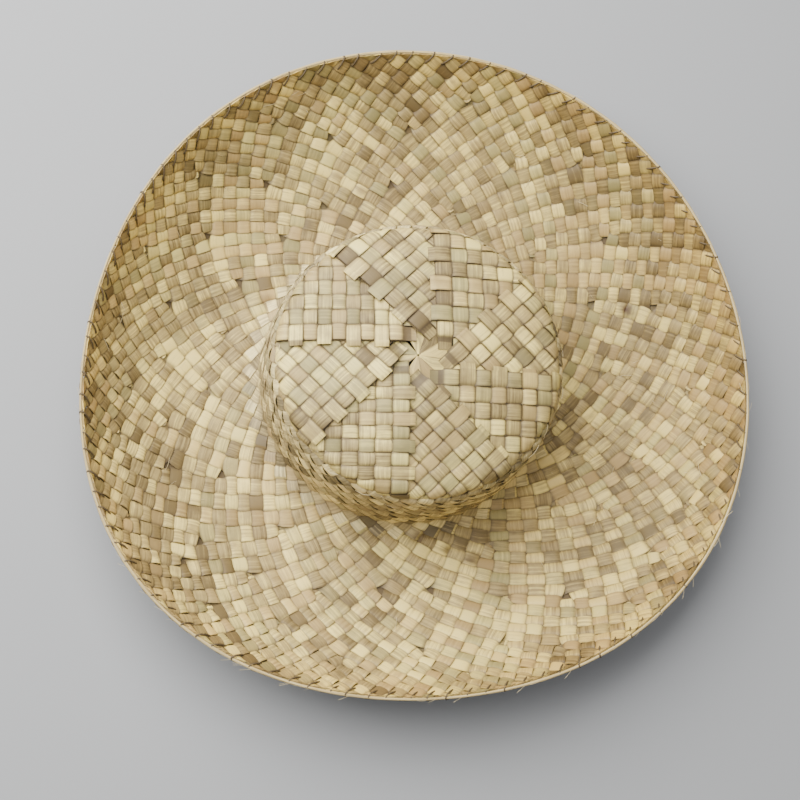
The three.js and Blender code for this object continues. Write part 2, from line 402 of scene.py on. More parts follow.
def spread_out_seats():
    """The folded strips' places: first the open slits, then one after another into the widest room left."""
    seats = [reach * MM * np.exp(1j * radians(angle)) for reach, angle in OPEN_SLITS]
    tries = 4000
    edge = 7 * MM
    radius = np.sqrt(RNG.uniform((BRIM_START + edge) ** 2, (RIM_RADIUS - edge) ** 2, tries))
    angle = RNG.uniform(-pi, pi, tries)
    places = radius * np.exp(1j * angle)
    # The strips are wider at the back on the right, so fewer are let in there
    roomy = 1 + 0.3 * np.exp(-(((angle - radians(45)) / radians(55)) ** 2))
    to_edge = np.minimum(radius - BRIM_START, RIM_RADIUS - radius) * 1.7
    while len(seats) < LET_IN:
        room = np.abs(places[:, None] - np.array(seats)).min(1)
        best = np.argmax(np.minimum(room, to_edge + 12 * MM) / roomy)
        seats.append(places[best])
    seats = np.array(seats)
    brim = SIDE.spread >= BRIM_SPREAD
    return np.interp(np.abs(seats), SIDE.radius[brim], SIDE.spread[brim]) + 1j * np.angle(seats)


def seat_folded_strips():
    """Sets each folded strip that is let in into a gap of the weave."""
    plait = Plait(spread_out_seats())
    for _ in range(6):
        for i in range(LET_IN):
            point = np.array([plait.seats[i].real, plait.seats[i].imag])
            off, slopes = [], []
            for family in (CLOCKWISE, COUNTER):
                count = plait.count(family, point, leave_out=i)
                off.append((count - family["seat"] + 0.5) % 1 - 0.5)
                radius = side_radius(point[0])
                slopes.append([family["pace"] * radius, family["turn"] * ROUND_PACE * radius])
            point = point - np.linalg.solve(np.array(slopes), np.array(off))
            point[0] = np.clip(point[0], BRIM_SPREAD + 0.03, RIM_SPREAD - 0.02)
            plait.seats[i] = point[0] + 1j * point[1]
    return plait


def strip_paths(plait, family):
    """The middle line of every strip of a family, from the top of the side or from where it is let in."""
    inner = plait.follow(family, plait.starts(family))
    seats = np.stack([plait.seats.real, plait.seats.imag], axis=-1)
    ahead = np.array([cos(family["away"]), sin(family["away"])]) / side_radius(seats[:, 0])[:, None]
    gap = np.where(np.arange(LET_IN) < len(OPEN_SLITS), OPEN_GAP, CLOSED_GAP)
    let_in = plait.follow(family, plait.settle(family, seats + ahead * gap[:, None]))
    return [inner[:, i] for i in range(inner.shape[1])] + [let_in[:, i] for i in range(let_in.shape[1])]


CELL_STATIONS = np.array([0.0, 0.09, 0.2, 0.35, 0.65, 0.8, 0.91])  # a strip's sections along a cell
END_ROOM = 0.02  # how near to a strip's end, in cells, no other section comes


def stations_between(low, high):
    """Where a strip's sections lie from end to end, counted in cells."""
    cells = np.arange(np.floor(low), np.ceil(high) + 1)
    stations = (cells[:, None] + CELL_STATIONS).ravel()
    return np.r_[low, stations[(stations > low + END_ROOM) & (stations < high - END_ROOM)], high]


def odd_cells(trait, stations):
    """A strip's unevenness in the cell of each section."""
    cell = np.floor(stations + 1e-6).astype(int)
    return trait["cells"][(cell - cell[0] + trait["shift"]) % len(trait["cells"])]


def laid(odd, window, loose, most_shift, most_tilt):
    """How far each section of a strip lies to the left, how high it lies and how it tilts."""
    flat = np.abs(window)
    shift = most_shift * odd[:, 4] * flat
    lift = (RELIEF * window + 0.13 * MM * odd[:, 1] * flat) * loose
    tilt = (SHINGLE + most_tilt * odd[:, 2] * flat) * loose
    return shift[:, None], lift, tilt


def lay_strip(ribbons, plait, family, path, trait, low, high):
    """Lays one strip between two spreads, with its own width, tone and small unevenness."""
    inside = (path[:, 0] >= low) & (path[:, 0] <= high)
    if inside.sum() < 4:
        return
    first, last = np.flatnonzero(inside)[[0, -1]]
    path = path[max(first - 1, 0) : last + 2]
    crossing = np.unwrap(plait.count(COUNTER if family is CLOCKWISE else CLOCKWISE, path), period=1)
    crossing = np.maximum.accumulate(crossing + np.arange(len(path)) * 1e-9)
    limits = np.interp([max(low, path[0, 0]), min(high, path[-1, 0])], path[:, 0], crossing)
    stations = stations_between(*limits)
    centre = np.stack([np.interp(stations, crossing, path[:, k]) for k in (0, 1)], axis=-1)
    spread = centre[:, 0]
    radius = side_radius(spread)
    ahead, steep = plait.outward(family, centre)
    to_left = np.stack([-ahead[:, 1], ahead[:, 0]], axis=-1) / radius[:, None]
    metres = np.linalg.norm(np.diff(centre, axis=0) * radius[:-1, None], axis=1)
    along = np.r_[0, np.cumsum(metres)] + trait["start"]
    odd = odd_cells(trait, stations)
    window = boxy(plait.over(centre)) * (1 if family is CLOCKWISE else -1)
    loose = looseness(spread)
    shift, lift, tilt = laid(odd, window, loose, 0.3 * MM, 0.2 * MM)
    lift = lift + tucked(spread) + WEAVE_LIFT
    width = family["width"] * trait["width"]
    half = np.minimum(radius / steep, width * 2) / 2 * (1.04 + 0.05 * window)
    half = half * (1 - 0.04 * np.abs(odd[:, 0]) - (0.12 * (loose - 1) if high == BRIM_SPREAD else 0))
    straw = straw_rows(trait, odd, window)
    ribbons.add(on_side, centre + to_left * shift, to_left, half, lift, tilt, along, straw)


def looseness(spread):
    """How loosely the strips lie: 1 where the hat stands on the floor, and more up the rim and the wall."""
    height = np.interp(spread, SIDE.spread, SIDE.height)
    on_rim = np.interp(height, (6 * MM, 30 * MM), (1, 1.4))
    on_wall = np.interp(height, (6 * MM, 30 * MM, 55 * MM, 66 * MM), (1, 1.4, 1.4, 1.2))
    return np.where(spread < BRIM_SPREAD, on_wall, on_rim)


def tucked(spread):
    """The side's strips come out from under the ends of the top's strips and then lie over them."""
    along = np.interp(spread, SIDE.spread, SIDE.along)
    return np.interp(along, (0, 7 * MM, 14 * MM, 24 * MM), (-1.6 * MM, -0.45 * MM, 0.1 * MM, 0))


def lay_tails(ribbons, plait):
    """The folded strips' tails, which lie flat under the weave, and lie deep and are painted dark as shade
    where a slit is open.
    """
    along = np.linspace(-8, 8, 9) * MM
    stations = len(along)
    for i, seat in enumerate(plait.seats):
        is_open = i < len(OPEN_SLITS)
        turn = COUNTER["away"] + RNG.uniform(-0.2, 0.2)
        ahead = np.array([cos(turn), sin(turn)]) / side_radius(seat.real)
        to_left = np.array([-ahead[1], ahead[0]])
        centre = np.array([seat.real, seat.imag]) + along[:, None] * ahead
        centre[:, 0] = np.minimum(centre[:, 0], RIM_SPREAD - 0.002)
        trait = strip_trait()
        # Painted shade: an open slit's tail is made very dark and counts as wholly under, for the shadow
        # seen down through the slit; the other tails count as partly under and take some painted shade.
        if is_open:
            trait["tone"] = -2.0
        straw = straw_rows(trait, np.zeros((stations, 5)), np.full(stations, -1.0 if is_open else 0.2))
        lift = WEAVE_LIFT - (1.6 * MM if is_open else 1.1 * MM)
        ribbons.add(on_side, centre, to_left, 4.4 * MM, lift, 0, along, straw)


def straw_rows(trait, odd, window):
    """The straw attribute of each section of a strip."""
    own = np.full((len(window), 2), (trait["tone"], trait["tint"]))
    return np.c_[own, odd[:, 3] * 0.5 + 0.5, window * 0.5 + 0.5]


def strip_trait():
    """A strip's own width, tone, tint and unevenness from cell to cell."""
    return {
        "width": RNG.uniform(0.955, 1.02),
        "tone": RNG.beta(2.6, 2.2),
        "tint": RNG.uniform(0, 1),
        "shift": int(RNG.integers(0, 40)),
        "start": RNG.uniform(0, 3),
        "cells": RNG.uniform(-1, 1, (48, 5)),
    }


def weave_side_and_brim(straw, side_straw):
    plait = seat_folded_strips()
    for family, word in ((CLOCKWISE, "clockwise"), (COUNTER, "counter")):
        paths = strip_paths(plait, family)
        traits = [strip_trait() for _ in paths]
        brim, wall = Ribbons(), Ribbons()
        for path, trait in zip(paths, traits):
            lay_strip(brim, plait, family, path, trait, BRIM_SPREAD, RIM_SPREAD + PAST_RIM)
        for path, trait in zip(paths[:STRIPS_AT_CROWN], traits):
            lay_strip(wall, plait, family, path, trait, 0, BRIM_SPREAD)
        if family is COUNTER:
            lay_tails(brim, plait)
        brim.piece(f"brim_strips_{word}", straw, "plaited_straw", "brim")
        wall.piece(f"crown_side_strips_{word}", side_straw, "plaited_straw", "crown_wall")


def seam_rise(reach):
    """1 on the flat of the top, where a fold stands up, down to 0 on the shoulder, where it closes."""
    share = np.interp(reach, (85 * MM, 98 * MM), (0, 1))
    return 1 - share * share * (3 - 2 * share)


TOP_LENGTH = TOP.along[-1]
EMERGE_REACH = np.interp(-EMERGE_SLOPE, -np.arctan2(TOP.face[:, 1], TOP.face[:, 0]), TOP.along)
FOLD_STICK_OUT = 3.8 * MM  # how far strip ends stand out past a fold
LAP = 5.5 * MM  # how far a wedge goes on under its neighbour's fold
SHORTEST = 2 * MM  # a strip that would be shorter is left out
EYE_START = 12.6 * MM  # where the first cross strip's near edge lies along the fold
EYE_REACH = 14.5 * MM  # how close to the middle the strips along a fold come
STAR_REACH = 19 * MM
STAR_TURN = radians(49)  # how far behind a fold its first strip comes in
STAR_MIDDLE = (-3.2 * MM, -0.3 * MM)  # where the star's strips meet, beside the axis


class Wedge:
    """One wedge of the top, as a flat cloth with x along its fold and y away from it."""

    def __init__(self, number, lift, cross_pitch):
        self.name = f"crown_wedge_{number + 1}"
        self.fold = pi / 2 - number * WEDGE_ANGLE
        self.lift, self.cross_pitch = lift * MM, cross_pitch * MM

    def place(self, points, lift):
        reach = np.hypot(points[..., 0], points[..., 1] + PINWHEEL)
        behind = np.arctan2(points[..., 1] + PINWHEEL, points[..., 0])
        beside = behind - np.arcsin(np.minimum(PINWHEEL / np.maximum(reach, MM), 1))
        settle = 1 - np.clip((beside - radians(6)) / radians(38), 0, 1)
        raised = self.lift * seam_rise(reach) * settle
        below = np.clip(-points[..., 1] / FOLD_STICK_OUT, 0, 1.2)
        raised = raised - 0.9 * MM * below**2
        raised = raised - 1.5 * MM * np.clip((reach - EMERGE_REACH) / (5 * MM), 0, 1) ** 2
        return TOP.place(TOP.along, reach, self.fold - behind, lift + raised)

    def over(self, points):
        """1 where the strip along the fold lies on top at a crossing, -1 where the one across it does."""
        beside = np.maximum(points[..., 1], 0.3 * ALONG_PITCH)
        one = np.sin(pi * beside / ALONG_PITCH)
        other = np.sin(pi * (points[..., 0] - EYE_START) / self.cross_pitch)
        return one * other

    def lay(self, ribbons, start, end, lengthwise):
        """Lays one straight strip from start to end."""
        axis = 0 if lengthwise else 1
        width = ALONG_PITCH if lengthwise else self.cross_pitch
        pitch, offset = (self.cross_pitch, EYE_START) if lengthwise else (ALONG_PITCH, 0)
        low, high = (start[axis] - offset) / pitch, (end[axis] - offset) / pitch
        stations = stations_between(low, high)
        share = (stations - low) / (high - low)
        centre = start + share[:, None] * (end - start)
        to_left = np.array([0, 1] if lengthwise else [-1, 0])
        trait = strip_trait()
        odd = odd_cells(trait, stations)
        window = boxy(self.over(centre)) * (1 if lengthwise else -1)
        half = width * (1 - 0.07 * np.abs(odd[:, 0]) + 0.05 * window) / 2
        shift, lift, tilt = laid(odd, window, 1.2, 0.35 * MM, 0.25 * MM)
        along = share * np.linalg.norm(end - start) + trait["start"]
        # The first half cell of a strip along the fold counts as on top, so that it takes little painted
        # shade there.
        in_view = 0.5 if lengthwise else 0.0
        shown = np.where((stations - low) < in_view, np.maximum(window, 0.5), window)
        straw = straw_rows(trait, odd, shown)
        ribbons.add(self.place, centre + to_left * shift, to_left, half, lift, tilt, along, straw)

    def fold_back(self, ribbons):
        """The layer that is folded back under the wedge's edge, down to the neighbour below."""
        stations = 24
        along = np.linspace(EYE_START, (TOP_LENGTH**2 - PINWHEEL**2) ** 0.5 - 9 * MM, stations)
        centre = np.stack([along, np.full(stations, 4.2 * MM)], axis=-1)
        rise = self.lift * seam_rise(along)
        lift, tilt = -0.55 * rise - 0.5 * MM, -0.45 * rise
        # The folded-back layer counts as partly under, so it takes some painted shade.
        straw = straw_rows(strip_trait(), np.zeros((stations, 5)), np.full(stations, 0.2))
        ribbons.add(self.place, centre, np.array([0, 1]), 4.6 * MM, lift, tilt, along, straw)

    def weave(self, straw):
        """Lays the strips along the fold and then those across it."""
        ribbons = Ribbons()
        self.fold_back(ribbons)
        lap_reach = (PINWHEEL + LAP) / sin(WEDGE_ANGLE)
        for j in range(int(TOP_LENGTH / ALONG_PITCH)):
            y = ALONG_PITCH * (j + 0.5)
            deep = y + PINWHEEL
            if deep > TOP_LENGTH * 0.985:
                continue
            last = (TOP_LENGTH**2 - deep**2) ** 0.5
            first = max(deep - lap_reach, max(EYE_REACH**2 - deep**2, 0) ** 0.5)
            if last - first > SHORTEST:
                self.lay(ribbons, np.array([first, y]), np.array([last, y]), True)
        x = EYE_START + self.cross_pitch / 2
        while x < TOP_LENGTH - 1.5 * MM:
            last = min(x + lap_reach - PINWHEEL, (TOP_LENGTH**2 - x**2) ** 0.5 - PINWHEEL)
            over_fold = self.over(np.array([x, ALONG_PITCH / 2])) < 0
            stick_out = FOLD_STICK_OUT * RNG.uniform(0.75, 1.15) * seam_rise(x)
            first = -stick_out if over_fold else 0.5 * MM
            if last - first > SHORTEST:
                self.lay(ribbons, np.array([x, first]), np.array([x, last]), False)
            x += self.cross_pitch
        ribbons.piece(self.name + "_strips", straw, "crown_straw", self.name)


def on_top(points, lift):
    reach = np.hypot(points[..., 0], points[..., 1])
    angle = np.arctan2(points[..., 1], points[..., 0])
    return TOP.place(TOP.along, reach, angle, lift)


def crown_star(straw, wedges):
    """The wedges' first strips, which come in under the folds and twist together in the middle."""
    ribbons = Ribbons()
    middle = np.array(STAR_MIDDLE)
    stations = 11
    share = np.linspace(0.03, 1, stations)
    for wedge in wedges:
        angle = wedge.fold - STAR_TURN + RNG.uniform(-0.12, 0.12)
        away = STAR_REACH * np.array([cos(angle), sin(angle)]) - middle
        reach = share * np.linalg.norm(away)
        ahead = away / np.linalg.norm(away)
        to_left = np.array([-ahead[1], ahead[0]])
        half = np.minimum(4.9 * MM, 0.3 * MM + reach * RNG.uniform(0.48, 0.6))
        centre = middle + share[:, None] * away - half[:, None] * to_left
        lift = (1.7 * (1 - share) ** 1.2 - 0.7) * MM
        tilt = 0.75 * MM * np.minimum(1, reach / (6 * MM))
        trait = strip_trait()
        odd = np.tile(trait["cells"][0], (stations, 1))
        petal = straw_rows(trait, odd, np.full(stations, 0.9))
        along = reach + trait["start"]
        ribbons.add(on_top, centre, to_left, half, lift, tilt, along, petal)
    ribbons.piece("crown_star_strips", straw, "crown_straw", "crown_star")


def crown_top(straw):
    wedges = [Wedge(number, *sizes) for number, sizes in enumerate(WEDGE_SIZES)]
    for wedge in wedges:
        wedge.weave(straw)
    crown_star(straw, wedges)


def grow(name, seeds, build, **values):
    """Runs a Geometry Nodes tree over a mesh of seed points and gives the finished mesh."""
    tree = bpy.data.node_groups.new(name, "GeometryNodeTree")
    tree.interface.new_socket("Seeds", in_out="INPUT", socket_type="NodeSocketGeometry")
    keys = {}
    for key in values:
        socket = tree.interface.new_socket(key, in_out="INPUT", socket_type="NodeSocketFloat")
        keys[key] = socket.identifier
    tree.interface.new_socket("Mesh", in_out="OUTPUT", socket_type="NodeSocketGeometry")
    start, end = tree.nodes.new("NodeGroupInput"), tree.nodes.new("NodeGroupOutput")

    def node(kind, settings=None, **sockets):
        made = tree.nodes.new(kind)
        for key, value in (settings or {}).items():
            setattr(made, key, value)
        for key, value in sockets.items():
            socket = made.inputs[key.replace("_", " ")]
            if isinstance(value, bpy.types.NodeSocket):
                tree.links.new(value, socket)
            else:
                socket.default_value = value
        return made.outputs[0]

    tree.links.new(build(node, start.outputs), end.inputs[0])
    holder = bpy.data.objects.new(name, seeds)
    bpy.context.scene.collection.objects.link(holder)
    modifier = holder.modifiers.new(name, "NODES")
    modifier.node_group = tree
    for key, value in values.items():
        modifier[keys[key]] = value
    bpy.context.view_layer.update()
    ready = holder.evaluated_get(bpy.context.evaluated_depsgraph_get())
    mesh = bpy.data.meshes.new_from_object(ready)
    bpy.data.objects.remove(holder)
    return mesh


class Seeds:
    """Bare points, each with the turn and the size of what will stand on it."""

    def __init__(self):
        self.places, self.turns, self.sizes = [], [], []

    def add(self, place, ahead, up, size):
        """Adds a point on which a shape stands with its x axis ahead and its z axis up."""
        ahead, up = Vector(ahead).normalized(), Vector(up).normalized()
        self.places.append(tuple(place))
        self.turns.append(Matrix((ahead, up.cross(ahead), up)).transposed().to_euler())
        self.sizes.append(size)

    def mesh(self, name):
        mesh = bpy.data.meshes.new(name)
        mesh.from_pydata(self.places, [], [])
        turn = mesh.attributes.new("turn", "FLOAT_VECTOR", "POINT")
        turn.data.foreach_set("vector", np.array(self.turns, np.float32).ravel())
        size = mesh.attributes.new("size", "FLOAT", "POINT")
        size.data.foreach_set("value", np.array(self.sizes, np.float32))
        return mesh


def stand_on_seeds(node, seeds, shape, finish):
    """Stands a shape on every seed and makes one mesh of them."""
    turn = node("GeometryNodeInputNamedAttribute", {"data_type": "FLOAT_VECTOR"}, Name="turn")
    size = node("GeometryNodeInputNamedAttribute", {"data_type": "FLOAT"}, Name="size")
    turn = node("FunctionNodeEulerToRotation", Euler=turn)
    stood = node("GeometryNodeInstanceOnPoints", Points=seeds, Instance=shape, Rotation=turn, Scale=size)
    mesh = node("GeometryNodeRealizeInstances", Geometry=stood)
    return node("GeometryNodeSetMaterial", Geometry=mesh, Material=finish)


HOOP_OFFSET = 1.9 * MM
HOOP_PLACE = (RIM_RADIUS + HOOP_OFFSET * cos(RIM_SLOPE), RIM_HEIGHT + HOOP_OFFSET * sin(RIM_SLOPE))
CANE_WIDTH = 1.05 * MM  # half the cane's size outwards
CANE_DEPTH = 1.0 * MM  # half its size towards the brim's upper face
STITCH_SPACING = 12.3 * MM
STITCH_INWARD = 3.5 * MM  # how far in from the cane a stitch's middle lies
THREAD_RADIUS = 0.6 * MM
LOOSE_STITCHES = radians(-20)  # the stitches lie tight in this direction and looser opposite


def rim_line(angle, outward=0.0, inward_face=0.0):
    """Points beside the hoop's middle: outward past the rim and towards the brim's upper face."""
    radius = HOOP_PLACE[0] + outward * cos(RIM_SLOPE) - inward_face * sin(RIM_SLOPE)
    height = HOOP_PLACE[1] + outward * sin(RIM_SLOPE) + inward_face * cos(RIM_SLOPE)
    return in_frame(radius, angle, height)


def rim_cane(finish):
    """The pale split cane that runs round on the rim."""
    steps, corners = 480, 10
    angle = np.linspace(0, 2 * pi, steps, endpoint=False)
    waves = (9, 17, 31, 53)
    waver = sum(np.sin(angle * k + RNG.uniform(0, 6)) * RNG.uniform(0.4, 1) for k in waves) * 0.09 * MM
    rows = []
    for i in range(corners):
        turn = 2 * pi * i / corners
        inward_face = (CANE_DEPTH + waver * 0.5) * sin(turn) + 0.3 * MM
        rows.append(rim_line(angle, (CANE_WIDTH + waver) * cos(turn), inward_face))
    mesh = bpy.data.meshes.new("rim_cane")
    points = np.stack(rows, axis=1).reshape(-1, 3)
    mesh.from_pydata(points.tolist(), [], tube_faces(0, steps, corners, closed=True))
    layer = mesh.uv_layers.new(name="strip")
    length = 2 * pi * RIM_RADIUS / steps
    uv = []
    for k in range(steps):
        low, high = k * length, (k + 1) * length
        for i in range(corners):
            uv += [i * MM, low, (i + 1) * MM, low, (i + 1) * MM, high, i * MM, high]
    layer.data.foreach_set("uv", np.array(uv, np.float32))
    mesh.polygons.foreach_set("use_smooth", np.ones(len(mesh.polygons), bool))
    outwards(mesh)
    set_up(mesh, "rim_cane", finish, "rim_cane", "rim_hoop")


def rim_stitches(thread):
    """The dark thread that is whipped round the cane and through the plait."""
    count = round(2 * pi * RIM_RADIUS / STITCH_SPACING)
    seeds = Seeds()
    for k in range(count):
        at = (k + RNG.uniform(-0.13, 0.13)) * 2 * pi / count
        slack = min(0.2 + 0.5 * (1 - cos(at - LOOSE_STITCHES)), 1.2) * MM
        middle, beside, out = (
            rim_line(at + aside, outward, slack)
            for aside, outward in ((0, -STITCH_INWARD), (0.01, -STITCH_INWARD), (0, 2 * MM))
        )
        out = Vector(out - middle).normalized()
        up = out.cross(Vector(beside - middle)).normalized()
        out = Matrix.Rotation(-RNG.uniform(0.55, 0.85), 3, up) @ out
        seeds.add(middle, out, out.cross(up), RNG.uniform(0.94, 1.08))

    def stitch(node, given):
        loop = node("GeometryNodeCurvePrimitiveCircle", Resolution=11, Radius=1.0)
        size = node("ShaderNodeCombineXYZ", X=given["Length"], Y=given["Height"], Z=1.0)
        loop = node("GeometryNodeTransform", Geometry=loop, Scale=size)
        section = node("GeometryNodeCurvePrimitiveCircle", Resolution=5, Radius=given["Thread"])
        loop = node("GeometryNodeCurveToMesh", Curve=loop, Profile_Curve=section)
        return stand_on_seeds(node, given["Seeds"], loop, thread)

    places = seeds.mesh("stitch_places")
    mesh = grow("rim_stitches", places, stitch, Length=5.2 * MM, Height=2.0 * MM, Thread=THREAD_RADIUS)
    set_up(mesh, "rim_stitches", thread, "rim_cane", "rim_hoop")


def unit(vector):
    return vector / np.linalg.norm(vector)


STRAY_FIBRES = 230  # on the side and the brim
RIM_FIBRES = 60


def stray_fibres(fibre):
    """Fine pale fibres that have come loose from the straw, on the brim, the rim and the crown's side."""
    seeds = Seeds()
    for _ in range(STRAY_FIBRES):
        angle = RNG.uniform(-pi, pi)
        on_wall = RNG.uniform() < 0.5
        at = RNG.uniform(0.04, 0.35) if on_wall else RNG.uniform(BRIM_SPREAD, RIM_SPREAD)
        here, near, beside, above = (
            on_side(np.array([at + outward, angle + aside]), lift * MM)
            for outward, aside, lift in ((0, 0, 1.7), (0.01, 0, 1.7), (0, 0.01, 1.7), (0, 0, 3))
        )
        turn = RNG.uniform(0, 2 * pi)
        to = unit(near - here) * cos(turn) + unit(beside - here) * sin(turn)
        over_floor = max(here[2] - 2 * MM, 3.5 * MM)
        seeds.add(here, to, above - here, min(RNG.uniform(4, 12) * MM, over_floor))
    for _ in range(RIM_FIBRES):
        angle = RNG.uniform(-pi, pi)
        here, beside = rim_line(angle, 0.5 * MM), rim_line(angle + 0.01, 0.5 * MM)
        out = rim_line(angle, 2 * MM)
        to = unit(beside - here) * RNG.choice([-1, 1]) + unit(out - here) * RNG.uniform(0, 0.8)
        seeds.add(here, to, out - here, RNG.uniform(3, 8) * MM)

    def hair(node, given):
        curve = node(
            "GeometryNodeCurveQuadraticBezier",
            Resolution=6,
            Start=(0, 0, 0),
            Middle=(0.5, 0.02, 0.16),
            End=(1, 0.2, 0.03),
        )
        section = node("GeometryNodeCurvePrimitiveCircle", Resolution=3, Radius=given["Thickness"])
        hair = node("GeometryNodeCurveToMesh", Curve=curve, Profile_Curve=section)
        return stand_on_seeds(node, given["Seeds"], hair, fibre)

    mesh = grow("stray_fibres", seeds.mesh("fibre_places"), hair, Thickness=0.014)
    set_up(mesh, "stray_fibres", fibre, "plaited_straw", "brim")


def outwards(mesh):
    """Turns all faces of a closed mesh outwards."""
    work = bmesh.new()
    work.from_mesh(mesh)
    bmesh.ops.recalc_face_normals(work, faces=work.faces)
    work.to_mesh(mesh)
    work.free()


class Value:
    """A number that varies over a surface. Sums and products of it add Math nodes to its finish."""

    def __init__(self, finish, socket):
        self.finish, self.socket = finish, socket

    def math(self, operation, *values):
        return self.finish.node("ShaderNodeMath", {"operation": operation}, dict(enumerate(values)))

    def __add__(self, other):
        return self.math("ADD", self, other)

    __radd__ = __add__

    def __sub__(self, other):
        return self.math("SUBTRACT", self, other)

    def __rsub__(self, other):
        return self.math("SUBTRACT", other, self)

    def __mul__(self, other):
        return self.math("MULTIPLY", self, other)

    __rmul__ = __mul__

    def between(self, low, high):
        """0 below low, 1 above high and smooth between them."""
        limits = {"Value": self, "From Min": low, "From Max": high}
        return self.finish.node("ShaderNodeMapRange", {"interpolation_type": "SMOOTHSTEP"}, limits)


class Finish:
    """A procedural material: a Principled shader and the nodes that feed it."""

    def __init__(self, name, **constants):
        self.material = bpy.data.materials.new(name)
        self.material.use_nodes = True
        self.tree = self.material.node_tree
        self.shader = self.tree.nodes["Principled BSDF"]
        for socket, value in constants.items():
            self.shader.inputs[socket.replace("_", " ")].default_value = value

    def node(self, kind, settings=None, sockets=None, output=0):
        """Adds a node with its settings, fills its sockets and gives one output or several."""
        node = self.tree.nodes.new(kind)
        for name, value in (settings or {}).items():
            setattr(node, name, value)
        for key, value in (sockets or {}).items():
            if isinstance(value, Value):
                self.tree.links.new(value.socket, node.inputs[key])
            else:
                node.inputs[key].default_value = value
        if isinstance(output, tuple):
            return [Value(self, node.outputs[k]) for k in output]
        return Value(self, node.outputs[output])

    def feed(self, socket, value):
        self.tree.links.new(value.socket, self.shader.inputs[socket])

    def mix(self, factor, one, other, blend="MIX"):
        """Mixes two colours."""
        settings = {"data_type": "RGBA", "blend_type": blend}
        return self.node("ShaderNodeMix", settings, {0: factor, 6: one, 7: other}, output=2)

    def noise(self, where, scale, detail=2.0, roughness=0.5):
        """Noise over a place, stretched by a scale for each of its axes."""
        vector = self.node("ShaderNodeVectorMath", {"operation": "MULTIPLY"}, {0: where, 1: scale})
        sockets = {"Vector": vector, "Scale": 1.0, "Detail": detail, "Roughness": roughness}
        return self.node("ShaderNodeTexNoise", None, sockets)

    def place(self):
        """Object coordinates, in which the hat doesn't move."""
        return self.node("ShaderNodeTexCoord", output=3)

    def bump(self, strength, distance, height):
        sockets = {"Strength": strength, "Distance": distance, "Height": height}
        self.feed("Normal", self.node("ShaderNodeBump", None, sockets))


# Stains: millimetres from the axis, direction in degrees, size in millimetres and darkness
BRIM_STAINS = (
    (164.6, 20.0, 6, 1.1),
    (108.3, -85.0, 6, 0.7),
    (118.7, -75.9, 5, 0.75),
    (129.1, -68.9, 5, 0.6),
    (212.3, -25.5, 6, 0.7),
    (197.1, -32.8, 5, 0.5),
    (110.2, 148.9, 6, 0.4),
)
CROWN_STAINS = ((81.1, -110.0, 1.5, 1.0),)


def stain_places():
    """Where the stains' middles lie in the frame, with their sizes and darkness."""
    brim = SIDE.spread >= BRIM_SPREAD
    found = []
    for reach, angle, size, dark in BRIM_STAINS:
        at = np.interp(reach * MM, SIDE.radius[brim], SIDE.spread[brim])
        found.append((on_side(np.array([at, radians(angle)]), WEAVE_LIFT), size * MM, dark))
    for reach, angle, size, dark in CROWN_STAINS:
        place = TOP.place(TOP.along, np.array(reach * MM), np.array(radians(angle)), 0)
        found.append((place, size * MM, dark))
    return found


def straw_finish(name, dark, middle, pale, warm, green, crease_shade_depth, golden=0.0):
    """Split straw: lengthwise fibres, each strip its own tone, with blotches and a satin gloss, and painted
    shade in its creases and towards the hat's right.
    """
    finish = Finish(name, Roughness=0.5, Specular_IOR_Level=0.3)
    strip = finish.node("ShaderNodeUVMap", {"uv_map": "strip"})
    where = finish.place()
    own, risen = finish.node("ShaderNodeAttribute", {"attribute_name": "straw"}, output=(0, 3))
    tone, tint, cell = finish.node("ShaderNodeSeparateColor", None, {0: own}, output=(0, 1, 2))
    margin = finish.node("ShaderNodeAttribute", {"attribute_name": "margin"}, output=2)
    fibres = finish.noise(strip, (2600, 60, 1), detail=3, roughness=0.65)
    bands = finish.noise(strip, (620, 14, 1))
    blotch = finish.noise(where, (90, 90, 90), detail=3, roughness=0.6)
    wide = finish.noise(where, (16, 16, 16))
    shade = (wide - 0.5) * 0.6 + tone * 0.6 + cell * 0.55 - 0.08
    shade = shade + (bands - 0.5) * 0.8 + (fibres - 0.5) * 0.7 + (blotch - 0.5) * 0.6
    low = finish.mix(shade.between(0.08, 0.52), dark, middle)
    base = finish.mix(shade.between(0.45, 0.92), low, pale)
    base = finish.mix(tint.between(0.72, 1.0) * 0.55, base, warm)
    base = finish.mix((1 - tint.between(0.0, 0.3)) * 0.5, base, green)
    right, height = finish.node("ShaderNodeSeparateXYZ", None, {0: where}, output=(0, 2))
    # Painted shade: the straw is darkened towards the hat's right, where the light falls off, and it is
    # more golden up at the rim
    shaded = finish.mix(1.0, base, (0.64, 0.595, 0.46, 1), "MULTIPLY")
    base = finish.mix(right.between(-0.1, 0.2) * 0.6, base, shaded)
    gilded = finish.mix(1.0, base, (0.90, 0.76, 0.55, 1), "MULTIPLY")
    base = finish.mix((height + (blotch - 0.5) * 0.03).between(0.028, 0.06) * golden, base, gilded)
    # Painted shade, with a little dirt: the straw is darker where it dips under another strip and along its
    # edges, where shadow falls in the creases
    crease_shade_and_dirt = risen.between(0.9, 0.35) * crease_shade_depth + margin.between(0.78, 1.0) * crease_shade_depth * 0.6
    base = finish.mix(crease_shade_and_dirt, base, finish.mix(0.8, base, (0.09, 0.062, 0.035, 1)))
    for place, size, darkness in stain_places():
        ends = {0: where, 1: tuple(place)}
        away = finish.node("ShaderNodeVectorMath", {"operation": "DISTANCE"}, ends, output=1)
        amount = (away + (blotch - 0.5) * size * 1.5).between(size * 1.2, 0.0) * darkness
        base = finish.mix(amount, base, (0.07, 0.035, 0.012, 1))
    finish.feed("Base Color", base)
    finish.feed("Roughness", 0.42 + (fibres - 0.5) * 0.35 + (1 - shade) * 0.14)
    finish.bump(0.5, 0.3 * MM, fibres * 0.7 + bands * 0.5)
    return finish.material


